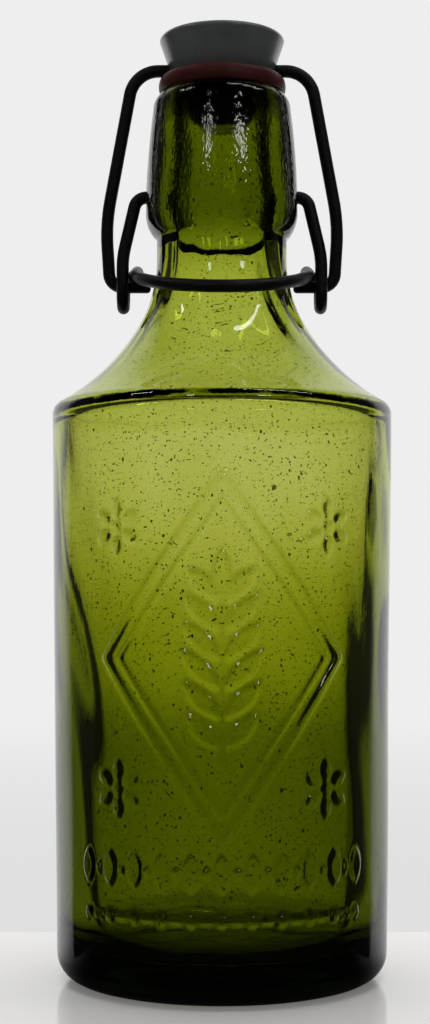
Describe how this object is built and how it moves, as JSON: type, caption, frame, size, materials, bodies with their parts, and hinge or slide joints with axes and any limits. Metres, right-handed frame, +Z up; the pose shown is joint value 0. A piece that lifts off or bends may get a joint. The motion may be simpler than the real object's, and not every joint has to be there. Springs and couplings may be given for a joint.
{
  "type": "swing top bottle",
  "caption": "Thick green glass bottle with a blob lip, closed by a porcelain stopper and rubber washer on a bent wire bail and lever that swing it off the mouth.",
  "frame": {"origin": "centre of the base, on the surface the bottle stands on", "axes": "+Z up along the bottle's axis, the lever's handle at the front on -Y, the wire pivots along X"},
  "size_m": [0.0724, 0.0724, 0.201],
  "materials": {
    "glass": "clear olive green, seedy and slightly wavy",
    "porcelain": "opaque grey glazed porcelain",
    "rubber": "matte red",
    "wire": "satin black"
  },
  "bodies": {
    "bottle": {"glass_bottle": "glass"},
    "lever": {"lever_wire": "wire"},
    "bail": {"bail_wire": "wire"},
    "stopper": {"porcelain_stopper": "porcelain", "rubber_washer": "rubber"}
  },
  "joints": [
    {"name": "lever_pivot", "type": "hinge", "parent": "bottle", "child": "lever", "pos_m": [0, 0, 0.1668], "axis": [-1, 0, 0], "range_deg": [0, 100]},
    {"name": "bail_pivot", "type": "hinge", "parent": "lever", "child": "bail", "pos_m": [0, 0.0029, 0.1481], "axis": [1, 0, 0], "range_deg": [0, 62.5]},
    {"name": "stopper_pivot", "type": "hinge", "parent": "bail", "child": "stopper", "pos_m": [0, 0, 0.1939], "axis": [1, 0, 0], "range_deg": [0, 37.5]}
  ],
  "couplings": [
    {"joint": "bail_pivot", "follows": "lever_pivot", "ratio": 0.625},
    {"joint": "stopper_pivot", "follows": "lever_pivot", "ratio": 0.375}
  ]
}
